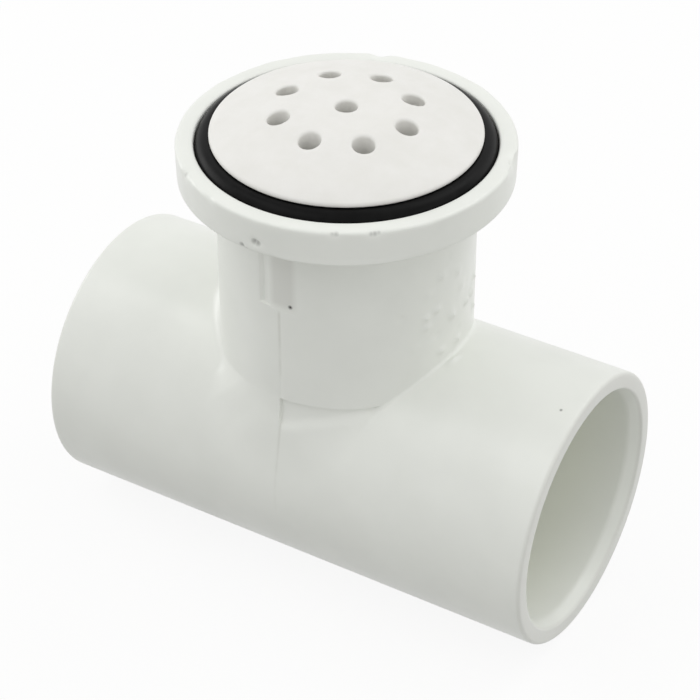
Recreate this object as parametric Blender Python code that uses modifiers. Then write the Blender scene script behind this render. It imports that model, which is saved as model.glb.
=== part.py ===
"""Spa air injector: a moulded PVC tee with a flanged branch, a rubber ring and a perforated cap.

Metres, +Z up along the branch, X along the run. The origin is under the branch, level with the
lowest line of the run. The cap screws out of the branch and carries the ring up with it.
"""
import math

import bmesh
import bpy
from mathutils import Vector

# The run, a pipe with a tapered slip socket at each end. Walls and steps are counted inwards
RUN_LENGTH = 0.0795
RUN_RADIUS = 0.0206
RUN_EDGE_ROUNDING = 0.0012
SOCKET_DEPTH = 0.0254
SOCKET_WALL = 0.00325
SOCKET_TAPER = 0.00065
SOCKET_STOP_WIDTH = 0.0034
LEAD_IN_FLARE = 0.00085
LEAD_IN_DEPTH = 0.0019

# The branch, which stands inside the run's width, and its flange at a height above the run's axis
BRANCH_INSET = 0.0023
BRANCH_WALL = 0.0024
FLANGE_FACE_HEIGHT = 0.04954
FLANGE_RIM_WIDTH = 0.00257
FLANGE_THICKNESS = 0.0053
FLANGE_DRAFT = 0.0001
FLANGE_EDGE_ROUNDING = 0.0004
FLANGE_ROOT_FILLET = 0.0006
PASSAGE_INSET = 0.0013
BORE_END_ROOM = 0.0015
BORE_MOUTH_CHAMFER = 0.0005

# The blend where the branch meets the run. It starts at one height across front and back, where
# branch and run nearly touch, and rides up over the run to each side. The mould half towards +X
# has the tighter blend, set back under the branch's wall, which ends there in a small ledge
BLEND_DROP = 0.0041
BLEND_WIDE = 0.0030
BLEND_TIGHT = 0.0010
BLEND_SETBACK = 0.00035
BLEND_EASE = 0.0008
MOULD_STEP_ANGLE = math.radians(0.6)

# The shallow mark that the mould insert leaves under the flange
MARK_WIDTH = 0.0060
MARK_HEIGHT = 0.0116
MARK_DEPTH = 0.00035

# The rubber ring in its recess, which is a step out from the bore
RECESS_WIDTH = 0.0051
RING_SECTION_RADIUS = 0.0015
RING_PROUD = 0.0005
RING_SIDE_GAP = 0.0003

# The cap: dome, neck and hollow stem. Its edge stands back from the recess and shows the ring
CAP_INSET = 0.0021
CAP_HEIGHT = 0.00426
CAP_BEND_RADIUS = 0.0078
CAP_SLOPE = math.radians(16.6)
CAP_EDGE_ROUNDING = 0.0007
CAP_LOWER_ROUNDING = 0.0003
CAP_WALL = 0.0026
NECK_GAP = 0.0003
STEM_GAP = 0.0004
STEM_WALL = 0.0030
STEM_LENGTH = 0.0150
STEM_CHAMFER = 0.0006

# The air holes, one in the middle and the others on a ring inside the stem's hollow. The dome is
# flat inside the ring
HOLE_RADIUS = 0.00155
HOLE_RING_INSET = 0.00303
RING_HOLE_COUNT = 8
CAP_FLAT_INSET = 0.00227

# Clearance between pieces that rest on each other, and how far cutters run past what they cut
TOUCH_GAP = 0.0003
CUT_PAST = 0.001
SKIRT_ROOT = 0.001
SKIRT_SINK = 0.00004

# Facets
TURN_STEPS = 80
RING_STEPS = 72
RING_SECTION_STEPS = 12
HOLE_STEPS = 20
BLEND_STEPS = 6
SHARP_ANGLE = math.radians(28)

# Radii that follow from the sizes above, from the run inwards and then out to the flange
SOCKET_MOUTH_RADIUS = RUN_RADIUS - SOCKET_WALL
SOCKET_STOP_RADIUS = SOCKET_MOUTH_RADIUS - SOCKET_TAPER
LEAD_IN_RADIUS = SOCKET_MOUTH_RADIUS + LEAD_IN_FLARE
RUN_BORE_RADIUS = SOCKET_STOP_RADIUS - SOCKET_STOP_WIDTH
PASSAGE_RADIUS = RUN_BORE_RADIUS - PASSAGE_INSET
BRANCH_RADIUS = RUN_RADIUS - BRANCH_INSET
BORE_RADIUS = BRANCH_RADIUS - BRANCH_WALL
STEM_RADIUS = BORE_RADIUS - STEM_GAP
STEM_BORE_RADIUS = STEM_RADIUS - STEM_WALL
RECESS_RADIUS = BORE_RADIUS + RECESS_WIDTH
FLANGE_RADIUS = RECESS_RADIUS + FLANGE_RIM_WIDTH
RING_CENTRE_RADIUS = RECESS_RADIUS - RING_SIDE_GAP - RING_SECTION_RADIUS
NECK_RADIUS = RING_CENTRE_RADIUS - RING_SECTION_RADIUS - NECK_GAP
CAP_RADIUS = RECESS_RADIUS - CAP_INSET
HOLE_RING_RADIUS = STEM_BORE_RADIUS - HOLE_RING_INSET
CAP_FLAT_RADIUS = HOLE_RING_RADIUS - CAP_FLAT_INSET

# Heights that follow. Those of the cap's neck and stem are counted from the cap's underside
AXIS_Z = RUN_RADIUS
BLEND_HEIGHT = RUN_RADIUS - BLEND_DROP
FLANGE_FACE_Z = AXIS_Z + FLANGE_FACE_HEIGHT
FLANGE_BACK_Z = FLANGE_FACE_Z - FLANGE_THICKNESS
RING_TOP_Z = FLANGE_FACE_Z + RING_PROUD
RING_CENTRE_Z = RING_TOP_Z - RING_SECTION_RADIUS
RING_BOTTOM_Z = RING_TOP_Z - 2 * RING_SECTION_RADIUS
RECESS_FLOOR_Z = RING_BOTTOM_Z - TOUCH_GAP
CAP_UNDERSIDE_Z = RING_TOP_Z + TOUCH_GAP
NECK_END = RING_BOTTOM_Z - CAP_UNDERSIDE_Z
STEM_END = NECK_END - STEM_LENGTH
BORE_END_Z = CAP_UNDERSIDE_Z + STEM_END - BORE_END_ROOM

NAME = "spa_air_injector"


def remove_objects():
    """Empty the scene without closing the file that this script runs from."""
    for item in list(bpy.data.objects):
        bpy.data.objects.remove(item, do_unlink=True)


def new_collection(name):
    """A collection linked to the scene."""
    collection = bpy.data.collections.new(name)
    bpy.context.scene.collection.children.link(collection)
    return collection


def new_material(name, colour, roughness):
    """A Principled material in one colour."""
    material = bpy.data.materials.new(name)
    material.use_nodes = True
    shader = material.node_tree.nodes["Principled BSDF"]
    shader.inputs["Base Color"].default_value = (*colour, 1.0)
    shader.inputs["Roughness"].default_value = roughness
    shader.inputs["Metallic"].default_value = 0.0
    return material


def put_in(item, collection):
    """Move an object into one collection only."""
    for other in list(item.users_collection):
        other.objects.unlink(item)
    collection.objects.link(item)


def as_cutter(item):
    """Mark an object as one that only shapes others."""
    item.hide_render = True
    item.display_type = "WIRE"
    return item


def arc(centre, radius, start, end, steps):
    """Points of a circle's arc in the profile plane, from one angle to another."""
    points = []
    for i in range(steps + 1):
        angle = start + (end - start) * i / steps
        points.append((centre[0] + radius * math.cos(angle), centre[1] + radius * math.sin(angle)))
    return points


def turned(name, profile, collection, location=(0, 0, 0), rotation=(0, 0, 0), steps=TURN_STEPS):
    """A closed body turned round its own Z from a profile that runs down its outer side."""
    mesh = bpy.data.meshes.new(name)
    edges = [(i, i + 1) for i in range(len(profile) - 1)]
    mesh.from_pydata([(r, 0.0, z) for r, z in profile], edges, [])
    item = bpy.data.objects.new(name, mesh)
    item.location = location
    item.rotation_euler = rotation
    collection.objects.link(item)
    screw = item.modifiers.new("turn", "SCREW")
    screw.axis = "Z"
    screw.angle = 2 * math.pi
    screw.steps = steps
    screw.render_steps = steps
    screw.use_merge_vertices = True
    screw.merge_threshold = 1e-6
    screw.use_smooth_shade = True
    return item


def boolean(target, operand, operation):
    """Join or cut the target with another object."""
    modifier = target.modifiers.new(operand.name, "BOOLEAN")
    modifier.operation = operation
    modifier.object = operand
    modifier.solver = "EXACT"


def set_shading(item):
    """Turn an object's modifiers into its mesh, smooth but for its real edges."""
    graph = bpy.context.evaluated_depsgraph_get()
    mesh = bpy.data.meshes.new_from_object(item.evaluated_get(graph), depsgraph=graph)
    item.modifiers.clear()
    item.data = mesh
    mesh.shade_smooth()
    mesh.set_sharp_from_angle(angle=SHARP_ANGLE)


def run_outer_profile():
    """The run's outside, turned round its axis."""
    half = RUN_LENGTH / 2
    edge = RUN_EDGE_ROUNDING
    top = arc((RUN_RADIUS - edge, half - edge), edge, math.pi / 2, 0, 4)
    bottom = [(r, -z) for r, z in reversed(top)]
    return [(0, half), *top, *bottom, (0, -half)]


def run_bore_profile():
    """The run's inside: a lead-in, a tapered socket, its stop and the bore between the stops."""
    half = RUN_LENGTH / 2
    flare = (LEAD_IN_RADIUS - SOCKET_MOUTH_RADIUS) / LEAD_IN_DEPTH * CUT_PAST
    stop = half - SOCKET_DEPTH
    upper = [
        (0, half + CUT_PAST),
        (LEAD_IN_RADIUS + flare, half + CUT_PAST),
        (SOCKET_MOUTH_RADIUS, half - LEAD_IN_DEPTH),
        (SOCKET_STOP_RADIUS, stop),
        (RUN_BORE_RADIUS, stop),
    ]
    return upper + [(r, -z) for r, z in reversed(upper)]


def branch_outer_profile():
    """The branch's outside with its flange, and its core set back under the blend's ledge."""
    edge = FLANGE_EDGE_ROUNDING
    root = FLANGE_ROOT_FILLET
    back_radius = FLANGE_RADIUS - FLANGE_DRAFT
    return [
        (0, FLANGE_FACE_Z),
        *arc((FLANGE_RADIUS - edge, FLANGE_FACE_Z - edge), edge, math.pi / 2, 0, 3),
        *arc((back_radius - edge, FLANGE_BACK_Z + edge), edge, 0, -math.pi / 2, 3),
        *arc((BRANCH_RADIUS + root, FLANGE_BACK_Z - root), root, math.pi / 2, math.pi, 3),
        (BRANCH_RADIUS, AXIS_Z + BLEND_HEIGHT),
        (BRANCH_RADIUS - BLEND_SETBACK, AXIS_Z + BLEND_HEIGHT),
        (BRANCH_RADIUS - BLEND_SETBACK, AXIS_Z),
        (0, AXIS_Z),
    ]


def branch_bore_profile():
    """The ring's recess, the bore that takes the stem, and the air passage into the run."""
    return [
        (0, FLANGE_FACE_Z + CUT_PAST),
        (RECESS_RADIUS, FLANGE_FACE_Z + CUT_PAST),
        (RECESS_RADIUS, RECESS_FLOOR_Z),
        (BORE_RADIUS + BORE_MOUTH_CHAMFER, RECESS_FLOOR_Z),
        (BORE_RADIUS, RECESS_FLOOR_Z - BORE_MOUTH_CHAMFER),
        (BORE_RADIUS, BORE_END_Z),
        (PASSAGE_RADIUS, BORE_END_Z),
        (PASSAGE_RADIUS, AXIS_Z),
        (0, AXIS_Z),
    ]


def blend_radius(outward, least):
    """The radius of the ball that rolls in the junction.

    It is the least radius, or more where that ball would touch the branch under the blend's
    height. The two heights pass into each other smoothly. The ball that touches at a height
    solves a quadratic, whose root is written so that it holds at front and back, where its
    square term is nought.
    """
    share = outward.y**2
    crossing = math.sqrt(RUN_RADIUS**2 - BRANCH_RADIUS**2 * share)
    low = math.sqrt((RUN_RADIUS + least) ** 2 - (BRANCH_RADIUS + least) ** 2 * share)
    top = (low + BLEND_HEIGHT + math.hypot(low - BLEND_HEIGHT, BLEND_EASE)) / 2
    square = 1 - share
    linear = 2 * (RUN_RADIUS - BRANCH_RADIUS * share)
    rest = crossing**2 - top**2
    return -2 * rest / (linear + math.sqrt(linear**2 - 4 * square * rest))


def skirt_section(angle):
    """One section of the junction: the arc of a ball that rolls along branch and run, and its root."""
    outward = Vector((math.cos(angle), math.sin(angle), 0))
    tight = outward.x > math.sin(MOULD_STEP_ANGLE / 2)
    radius = blend_radius(outward, BLEND_TIGHT if tight else BLEND_WIDE)
    across = (BRANCH_RADIUS + radius) * outward.y
    up = math.sqrt((RUN_RADIUS + radius) ** 2 - across**2)
    centre = (BRANCH_RADIUS + radius) * outward + Vector((0, 0, AXIS_Z + up))
    to_branch = -outward
    to_run = -Vector((0, across, up)).normalized()
    points = [centre + (radius + SKIRT_ROOT) * to_branch]
    for i in range(BLEND_STEPS + 1):
        share = i / BLEND_STEPS
        reach = radius + (SKIRT_SINK if i in (0, BLEND_STEPS) else 0)
        setback = (BLEND_SETBACK if tight else 0) * (1 - share)
        points.append(centre + reach * to_branch.slerp(to_run, share) - setback * outward)
    points.append(centre + (radius + SKIRT_ROOT) * to_run)
    inner = (BRANCH_RADIUS - SKIRT_ROOT) * outward
    crest = math.sqrt(RUN_RADIUS**2 - inner.y**2)
    points.append(inner + Vector((0, 0, AXIS_Z + crest - SKIRT_ROOT)))
    return points


def skirt_angles():
    """The sections' angles round the branch, with a close pair on each side of the parting plane."""
    angles = [2 * math.pi * i / TURN_STEPS for i in range(TURN_STEPS)]
    angles += [math.pi / 2 - MOULD_STEP_ANGLE, 3 * math.pi / 2 + MOULD_STEP_ANGLE]
    return sorted(angles)


def make_skirt(collection):
    """The junction's blend as a ring lofted from its sections, which change all the way round."""
    mesh = bmesh.new()
    loops = [[mesh.verts.new(point) for point in skirt_section(angle)] for angle in skirt_angles()]
    count = len(loops[0])
    for i, loop in enumerate(loops):
        after = loops[(i + 1) % len(loops)]
        for j in range(count):
            k = (j + 1) % count
            mesh.faces.new((loop[j], loop[k], after[k], after[j]))
    bmesh.ops.recalc_face_normals(mesh, faces=mesh.faces)
    data = bpy.data.meshes.new("junction_skirt")
    mesh.to_mesh(data)
    mesh.free()
    item = bpy.data.objects.new("junction_skirt", data)
    collection.objects.link(item)
    return as_cutter(item)


def make_mark_cutter(collection):
    """The box that leaves the insert mark on the branch, under the flange on the parting plane."""
    deep = CUT_PAST + MARK_DEPTH
    mesh = bmesh.new()
    bmesh.ops.create_cube(mesh, size=1)
    bmesh.ops.scale(mesh, vec=(MARK_WIDTH, deep, MARK_HEIGHT), verts=mesh.verts)
    data = bpy.data.meshes.new("mark_cutter")
    mesh.to_mesh(data)
    mesh.free()
    item = bpy.data.objects.new("mark_cutter", data)
    top = FLANGE_BACK_Z - FLANGE_ROOT_FILLET
    item.location = (0, -BRANCH_RADIUS + MARK_DEPTH - deep / 2, top - MARK_HEIGHT / 2)
    collection.objects.link(item)
    return as_cutter(item)


def make_tee_body(parts, cutters, material):
    """The one moulding: run, branch and flange, bored through both ways."""
    along_x = (0, math.pi / 2, 0)
    axis = (0, 0, AXIS_Z)
    body = turned("tee_body", run_outer_profile(), parts, axis, along_x)
    branch = as_cutter(turned("branch_outer", branch_outer_profile(), cutters))
    skirt = make_skirt(cutters)
    run_bore = as_cutter(turned("run_bore", run_bore_profile(), cutters, axis, along_x))
    branch_bore = as_cutter(turned("branch_bore", branch_bore_profile(), cutters))
    mark = make_mark_cutter(cutters)
    boolean(body, branch, "UNION")
    boolean(body, skirt, "UNION")
    boolean(body, run_bore, "DIFFERENCE")
    boolean(body, branch_bore, "DIFFERENCE")
    boolean(body, mark, "DIFFERENCE")
    set_shading(body)
    body.data.materials.clear()
    body.data.materials.append(material)
    return body


def make_ring(parts, material):
    """The rubber ring, lying in the flange's recess round the cap's neck."""
    bpy.ops.mesh.primitive_torus_add(
        major_segments=RING_STEPS,
        minor_segments=RING_SECTION_STEPS,
        major_radius=RING_CENTRE_RADIUS,
        minor_radius=RING_SECTION_RADIUS,
        location=(0, 0, RING_CENTRE_Z),
    )
    ring = bpy.context.object
    ring.name = "o_ring"
    ring.data.name = "o_ring"
    put_in(ring, parts)
    ring.data.shade_smooth()
    ring.data.materials.append(material)
    return ring


def dome_profile(crown, end_radius):
    """The dome's slope from its crown outwards: flat, bent over, then straight down the slope."""
    points = [(0, crown), (CAP_FLAT_RADIUS / 2, crown)]
    bend_centre = (CAP_FLAT_RADIUS, crown - CAP_BEND_RADIUS)
    points += arc(bend_centre, CAP_BEND_RADIUS, math.pi / 2, math.pi / 2 - CAP_SLOPE, 4)
    bend_end = points[-1]
    points.append((end_radius, bend_end[1] - (end_radius - bend_end[0]) * math.tan(CAP_SLOPE)))
    return points


def cap_profile():
    """The cap from its crown, round its edge, down neck and stem, and back up the hollow inside."""
    edge = CAP_EDGE_ROUNDING
    lower = CAP_LOWER_ROUNDING
    edge_centre_radius = CAP_RADIUS - edge
    slope_end = edge_centre_radius + edge * math.sin(CAP_SLOPE)
    dome = dome_profile(CAP_HEIGHT, slope_end)
    edge_centre = (edge_centre_radius, dome[-1][1] - edge * math.cos(CAP_SLOPE))
    ceiling = dome_profile(CAP_HEIGHT - CAP_WALL, STEM_BORE_RADIUS)
    return [
        *dome[:-1],
        *arc(edge_centre, edge, math.pi / 2 - CAP_SLOPE, 0, 4),
        *arc((CAP_RADIUS - lower, lower), lower, 0, -math.pi / 2, 3),
        (NECK_RADIUS, 0),
        (NECK_RADIUS, NECK_END),
        (STEM_RADIUS, NECK_END),
        (STEM_RADIUS, STEM_END + STEM_CHAMFER),
        (STEM_RADIUS - STEM_CHAMFER, STEM_END),
        (STEM_BORE_RADIUS, STEM_END),
        *reversed(ceiling),
    ]


def make_hole_cutter(collection):
    """The pins that pierce the dome: one on the axis and the others on their ring."""
    places = [Vector((0, 0, 0))]
    for i in range(RING_HOLE_COUNT):
        angle = 2 * math.pi * i / RING_HOLE_COUNT
        places.append(HOLE_RING_RADIUS * Vector((math.cos(angle), math.sin(angle), 0)))
    mesh = bmesh.new()
    for place in places:
        pin = bmesh.ops.create_cone(
            mesh,
            cap_ends=True,
            segments=HOLE_STEPS,
            radius1=HOLE_RADIUS,
            radius2=HOLE_RADIUS,
            depth=2 * CAP_HEIGHT,
        )
        bmesh.ops.translate(mesh, verts=pin["verts"], vec=place)
    data = bpy.data.meshes.new("hole_pins")
    mesh.to_mesh(data)
    mesh.free()
    item = bpy.data.objects.new("hole_pins", data)
    item.location = (0, 0, CAP_UNDERSIDE_Z + CAP_HEIGHT)
    collection.objects.link(item)
    return as_cutter(item)


def make_cap(parts, cutters, material):
    """The domed cap with its air holes, its origin on the axis it turns about."""
    cap = turned("injector_cap", cap_profile(), parts, (0, 0, CAP_UNDERSIDE_Z))
    boolean(cap, make_hole_cutter(cutters), "DIFFERENCE")
    set_shading(cap)
    cap.data.materials.clear()
    cap.data.materials.append(material)
    return cap


def main():
    """Build the three pieces."""
    remove_objects()
    parts = new_collection(NAME)
    cutters = new_collection(NAME + "_cutters")
    pvc = new_material("moulded_white_pvc", (0.80, 0.81, 0.78), 0.35)
    rubber = new_material("black_rubber", (0.012, 0.012, 0.012), 0.40)
    plastic = new_material("moulded_white_cap", (0.83, 0.82, 0.80), 0.45)
    make_tee_body(parts, cutters, pvc)
    make_ring(parts, rubber)
    make_cap(parts, cutters, plastic)


main()
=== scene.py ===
"""Spa air injector, dressed: a white moulded tee, its rubber ring and its perforated cap.

Sizes and places in the classes are millimetres in the frame: +X along the run, +Z up the branch,
the origin under the branch at the run's lowest line. Meshes are turned to metres as they are made.
"""
import logging
import math
import random
from collections.abc import Sequence
from dataclasses import dataclass, field
from enum import Enum

import bmesh
import bpy
import numpy as np
from mathutils import Matrix, Vector


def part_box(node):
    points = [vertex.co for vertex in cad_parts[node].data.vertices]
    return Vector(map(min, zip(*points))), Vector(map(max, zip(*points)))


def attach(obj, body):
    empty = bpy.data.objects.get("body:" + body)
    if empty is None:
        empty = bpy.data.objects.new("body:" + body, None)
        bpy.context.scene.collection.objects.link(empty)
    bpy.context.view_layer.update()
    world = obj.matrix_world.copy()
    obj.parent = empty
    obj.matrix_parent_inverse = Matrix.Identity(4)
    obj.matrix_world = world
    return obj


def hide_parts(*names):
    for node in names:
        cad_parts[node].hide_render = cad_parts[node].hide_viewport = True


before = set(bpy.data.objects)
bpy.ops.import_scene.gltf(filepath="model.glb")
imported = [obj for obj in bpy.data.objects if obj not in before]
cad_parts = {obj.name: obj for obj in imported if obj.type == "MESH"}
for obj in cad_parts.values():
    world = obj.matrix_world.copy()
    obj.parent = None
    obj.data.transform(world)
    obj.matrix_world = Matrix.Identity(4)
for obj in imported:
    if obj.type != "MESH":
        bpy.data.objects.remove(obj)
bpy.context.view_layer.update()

LOG = logging.getLogger("spa_air_injector")
MM = 0.001
WELD = 2e-6
AXIS_LEVEL = 20.6
BRANCH_RADIUS = 18.3
FLANGE_RADIUS = 23.55
PARTING = 0.22
SHARP_ANGLE = math.radians(38)
NEAR = 1e-9
Table = tuple[tuple[float, ...], tuple[float, ...]]


class Body(Enum):
    """The bodies that the pieces ride on."""

    TEE = "tee"
    RING = "ring"
    CAP = "cap"


def corners(node: str) -> tuple[np.ndarray, np.ndarray]:
    """A frame node's lowest and highest corner in millimetres.

    Args:
        node: The node's name.

    Returns:
        The two corners.
    """
    low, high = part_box(node)
    return np.array(low) / MM, np.array(high) / MM


def linear(colour: str) -> tuple[float, float, float, float]:
    """Turn an sRGB hex value into the linear colour that a shader takes.

    Args:
        colour: Six hex digits after a hash sign.

    Returns:
        Red, green, blue and alpha.
    """
    parts = [int(colour[i:i + 2], 16) / 255 for i in (1, 3, 5)]
    red, green, blue = (c / 12.92 if c <= 0.04045 else ((c + 0.055) / 1.055) ** 2.4 for c in parts)
    return red, green, blue, 1.0


def add_node(tree: bpy.types.NodeTree, kind: str, inputs: dict | None = None, **settings) -> bpy.types.Node:
    """Add a node with its settings, its values and its links.

    Args:
        tree: The tree that gets the node.
        kind: The node's type name.
        inputs: A value or an output socket for each input, by name or number.
        settings: The node's own properties.

    Returns:
        The node.
    """
    node = tree.nodes.new(kind)
    for key, value in settings.items():
        setattr(node, key, value)
    for key, value in (inputs or {}).items():
        if isinstance(value, bpy.types.NodeSocket):
            tree.links.new(value, node.inputs[key])
        else:
            node.inputs[key].default_value = value
    return node


def around(degrees: float, height: float, radius: float = BRANCH_RADIUS) -> tuple[float, float, float]:
    """A place round the branch, in the frame.

    Args:
        degrees: The angle from +X towards +Y.
        height: The height above the run's axis.
        radius: The distance from the branch's axis.

    Returns:
        The place.
    """
    turn = math.radians(degrees)
    return radius * math.cos(turn), radius * math.sin(turn), AXIS_LEVEL + height


def filled(keys: Sequence[float], step: float) -> np.ndarray:
    """Values from the first key to the last, with every key kept and no gap wider than the step.

    Args:
        keys: Values that rise or fall.
        step: The widest gap.

    Returns:
        The values in order.
    """
    parts = []
    for start, end in zip(keys, keys[1:]):
        count = max(1, math.ceil(abs(end - start) / step - 1e-6))
        parts.append(np.linspace(start, end, count, endpoint=False))
    return np.concatenate([*parts, keys[-1:]])


def rounded(profile: Sequence[tuple[float, float, float]], steps: int = 4) -> list[tuple[float, float]]:
    """A profile whose corners are rounded.

    Args:
        profile: Corners as (across, up, radius). The ends and corners of radius nought stay sharp.
        steps: Steps in each rounding.

    Returns:
        The profile's points.
    """
    points = []
    for i, (across, up, radius) in enumerate(profile):
        here = Vector((across, up))
        if radius == 0:
            points.append((across, up))
            continue
        before = (Vector(profile[i - 1][:2]) - here).normalized()
        after = (Vector(profile[i + 1][:2]) - here).normalized()
        half = before.angle(after) / 2
        centre = here + (before + after).normalized() * radius / math.sin(half)
        start = (here + before * radius / math.tan(half) - centre).normalized()
        end = (here + after * radius / math.tan(half) - centre).normalized()
        points += [tuple(centre + radius * start.slerp(end, k / steps)) for k in range(steps + 1)]
    return points


def spaced(profile: Sequence[tuple[float, float]], step: float) -> list[tuple[float, float]]:
    """A profile with points put in so that no gap is wider than the step.

    Args:
        profile: The points.
        step: The widest gap.

    Returns:
        All points in order.
    """
    points = [profile[0]]
    for start, end in zip(profile, profile[1:]):
        count = max(1, math.ceil(math.dist(start, end) / step - 1e-6))
        for k in range(1, count + 1):
            points.append(tuple(a + (b - a) * k / count for a, b in zip(start, end)))
    return points


def eased(value: np.ndarray) -> np.ndarray:
    """Nought below 0, one above 1, and a smooth rise between."""
    clipped = np.clip(value, 0, 1)
    return clipped * clipped * (3 - 2 * clipped)


def points_of(mesh: bpy.types.Mesh) -> np.ndarray:
    """A mesh's points, in millimetres."""
    flat = np.empty(len(mesh.vertices) * 3)
    mesh.vertices.foreach_get("co", flat)
    return flat.reshape(-1, 3) / MM


class Skin:
    """A surface that grows by sheets of points, in millimetres. Sheets that meet share their edges."""

    def __init__(self) -> None:
        """Start with no surface."""
        self.points: list[np.ndarray] = []
        self.faces: list[tuple[int, ...]] = []
        self.count = 0

    def sheet(self, rows: Sequence[np.ndarray], closed: bool = True) -> None:
        """Add a sheet of four-sided faces.

        Args:
            rows: Rows of points, all of one count.
            closed: Whether each row's end joins its start.
        """
        grid = np.stack(rows)
        numbers = np.arange(grid.shape[0] * grid.shape[1]).reshape(grid.shape[:2]) + self.count
        self.points.append(grid.reshape(-1, 3))
        self.count += numbers.size
        if closed:
            numbers = np.concatenate((numbers, numbers[:, :1]), axis=1)
        quads = np.stack((numbers[:-1, :-1], numbers[:-1, 1:], numbers[1:, 1:], numbers[1:, :-1]), axis=-1)
        self.faces += map(tuple, quads.reshape(-1, 4).tolist())

    def take(self, item: bpy.types.Object) -> None:
        """Add another object's faces, and remove that object."""
        mesh = item.data
        self.faces += [tuple(v + self.count for v in face.vertices) for face in mesh.polygons]
        self.points.append(points_of(mesh))
        self.count += len(mesh.vertices)
        bpy.data.objects.remove(item, do_unlink=True)

    def made(self, name: str) -> bpy.types.Object:
        """Make the surface one object, its doubles merged and its faces pointing outwards.

        Args:
            name: The object's name.

        Returns:
            The object, at the origin.
        """
        mesh = bpy.data.meshes.new(name)
        mesh.from_pydata((np.concatenate(self.points) * MM).tolist(), [], self.faces)
        shape = bmesh.new()
        shape.from_mesh(mesh)
        bmesh.ops.remove_doubles(shape, verts=shape.verts, dist=WELD)
        bmesh.ops.recalc_face_normals(shape, faces=shape.faces)
        shape.to_mesh(mesh)
        shape.free()
        item = bpy.data.objects.new(name, mesh)
        bpy.context.scene.collection.objects.link(item)
        return item


class NodeWork:
    """A node tree in the making."""

    tree: bpy.types.NodeTree

    def node(self, kind: str, inputs: dict | None = None, **settings) -> bpy.types.NodeSocket:
        """Add a node to the tree and give its first output."""
        return add_node(self.tree, kind, inputs, **settings).outputs[0]


class NodeForm(NodeWork):
    """A geometry node tree with named sizes, used once on an object and then made a plain mesh."""

    def __init__(self, name: str, sizes: dict[str, float]) -> None:
        """Start a tree.

        Args:
            name: The tree's name.
            sizes: Its named inputs and their values, whole numbers for counts.
        """
        self.sizes = sizes
        self.tree = bpy.data.node_groups.new(name, "GeometryNodeTree")
        self.tree.interface.new_socket("Geometry", in_out="INPUT", socket_type="NodeSocketGeometry")
        for label, value in sizes.items():
            kind = "NodeSocketInt" if isinstance(value, int) else "NodeSocketFloat"
            self.tree.interface.new_socket(label, in_out="INPUT", socket_type=kind)
        self.tree.interface.new_socket("Material", in_out="INPUT", socket_type="NodeSocketMaterial")
        self.tree.interface.new_socket("Geometry", in_out="OUTPUT", socket_type="NodeSocketGeometry")
        self.given = add_node(self.tree, "NodeGroupInput").outputs

    def applied(self, item: bpy.types.Object, geometry: bpy.types.NodeSocket,
                material: bpy.types.Material) -> bpy.types.Object:
        """End the tree in real geometry with its material, and make the object the plain result.

        Args:
            item: The object that the tree works on.
            geometry: The tree's last geometry.
            material: What the result is made of.

        Returns:
            The same object with its new mesh.
        """
        real = self.node("GeometryNodeRealizeInstances", {"Geometry": geometry})
        given = self.given["Material"]
        dressed = self.node("GeometryNodeSetMaterial", {"Geometry": real, "Material": given})
        add_node(self.tree, "NodeGroupOutput", {"Geometry": dressed})
        modifier = item.modifiers.new(self.tree.name, "NODES")
        modifier.node_group = self.tree
        values = {**self.sizes, "Material": material}
        for socket in self.tree.interface.items_tree:
            if socket.in_out == "INPUT" and socket.name in values:
                modifier[socket.identifier] = values[socket.name]
        graph = bpy.context.evaluated_depsgraph_get()
        mesh = bpy.data.meshes.new_from_object(item.evaluated_get(graph), depsgraph=graph)
        item.modifiers.clear()
        item.data = mesh
        return item


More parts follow.
